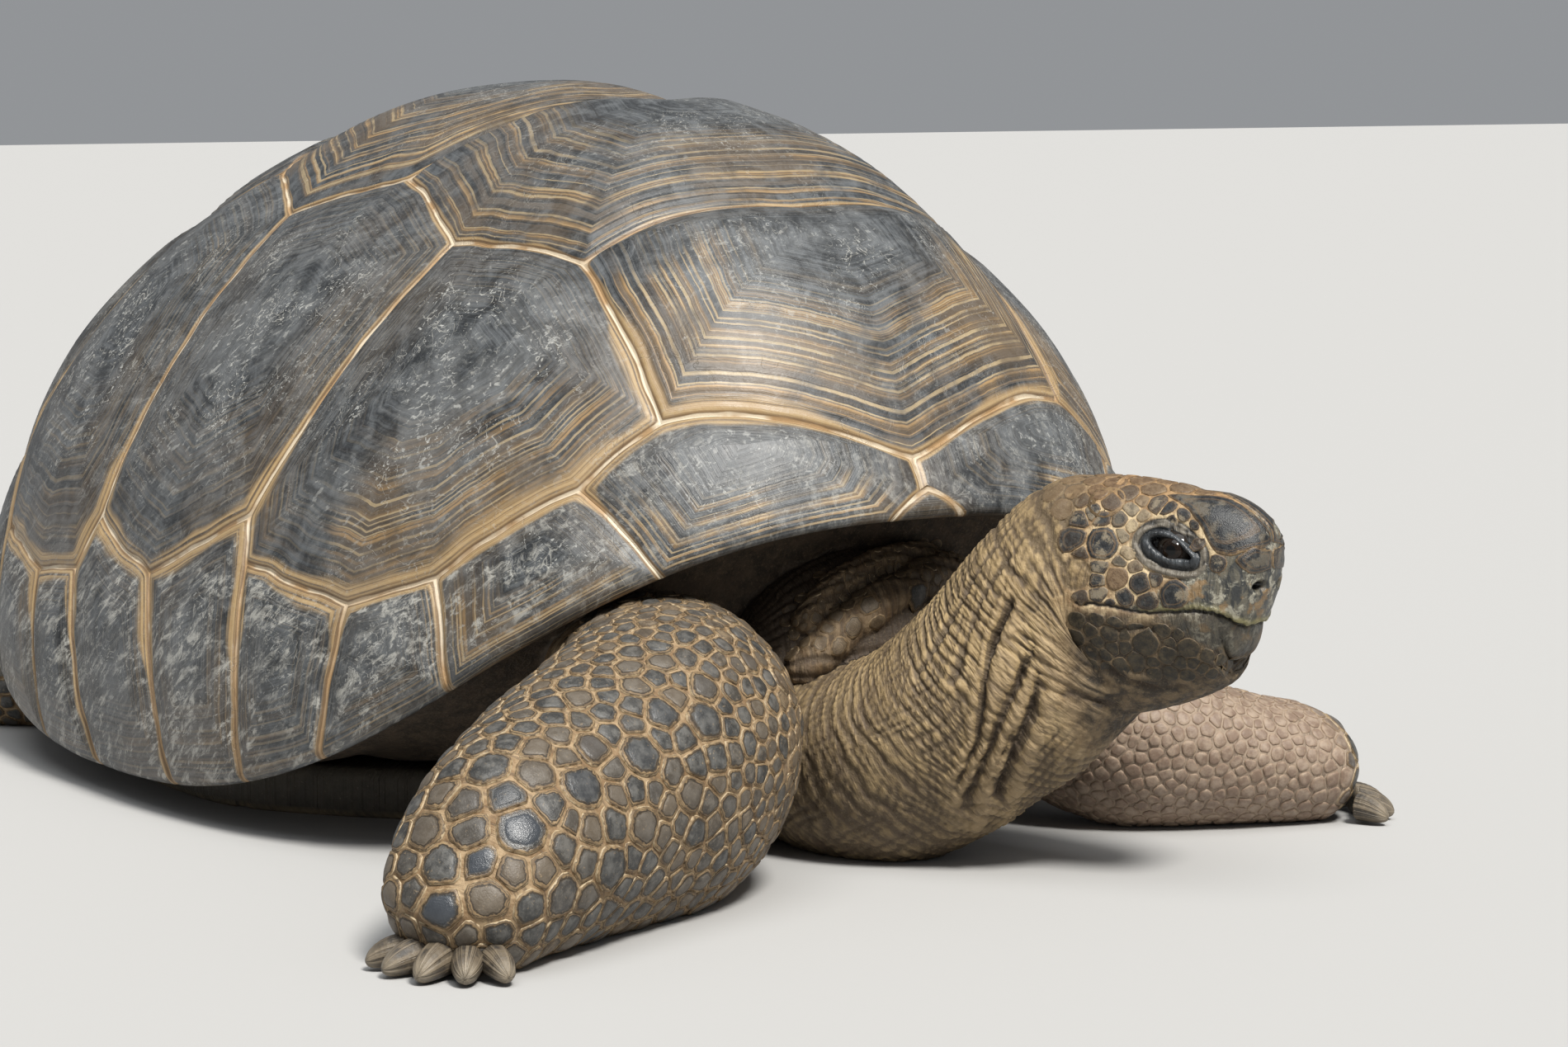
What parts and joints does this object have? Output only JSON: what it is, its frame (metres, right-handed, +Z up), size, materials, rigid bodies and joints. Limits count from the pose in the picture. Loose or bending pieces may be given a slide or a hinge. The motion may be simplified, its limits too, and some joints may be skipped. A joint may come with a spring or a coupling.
{
  "type": "giant tortoise",
  "caption": "Life-size Aldabra giant tortoise resting on its plastron with the head raised, domed scuted shell and scaly legs.",
  "frame": {"origin": "bottom centre of the whole animal's bounding box, on the floor it rests on", "axes": "+X towards the head, +Y the animal's left, +Z up"},
  "size_m": [1.3726, 0.9194, 0.5728],
  "materials": {
    "horn": "dark slate horn with ochre growth rings, worn and scratched, low sheen",
    "plastron_horn": "worn brown and slate horn, flat and dull",
    "skin": "dry brown-grey reptile skin, wrinkled, with horny scales",
    "eye": "wet, nearly black eye"
  },
  "bodies": {
    "root": {"nuchal": "horn", "vertebral_1": "horn", "vertebral_2": "horn", "vertebral_3": "horn", "vertebral_4": "horn", "vertebral_5": "horn", "supracaudal": "horn", "costal_left_1": "horn", "costal_left_2": "horn", "costal_left_3": "horn", "costal_left_4": "horn", "marginal_left_1": "horn", "marginal_left_2": "horn", "marginal_left_3": "horn", "marginal_left_4": "horn", "marginal_left_5": "horn", "marginal_left_6": "horn", "marginal_left_7": "horn", "marginal_left_8": "horn", "marginal_left_9": "horn", "marginal_left_10": "horn", "marginal_left_11": "horn", "costal_right_1": "horn", "costal_right_2": "horn", "costal_right_3": "horn", "costal_right_4": "horn", "marginal_right_1": "horn", "marginal_right_2": "horn", "marginal_right_3": "horn", "marginal_right_4": "horn", "marginal_right_5": "horn", "marginal_right_6": "horn", "marginal_right_7": "horn", "marginal_right_8": "horn", "marginal_right_9": "horn", "marginal_right_10": "horn", "marginal_right_11": "horn", "plastron": "plastron_horn", "head": "skin", "neck": "skin", "trunk": "skin", "tail": "skin", "foreleg_left": "skin", "foreleg_right": "skin", "hindleg_left": "skin", "hindleg_right": "skin", "eye_left": "eye", "eye_right": "eye"}
  },
  "joints": []
}
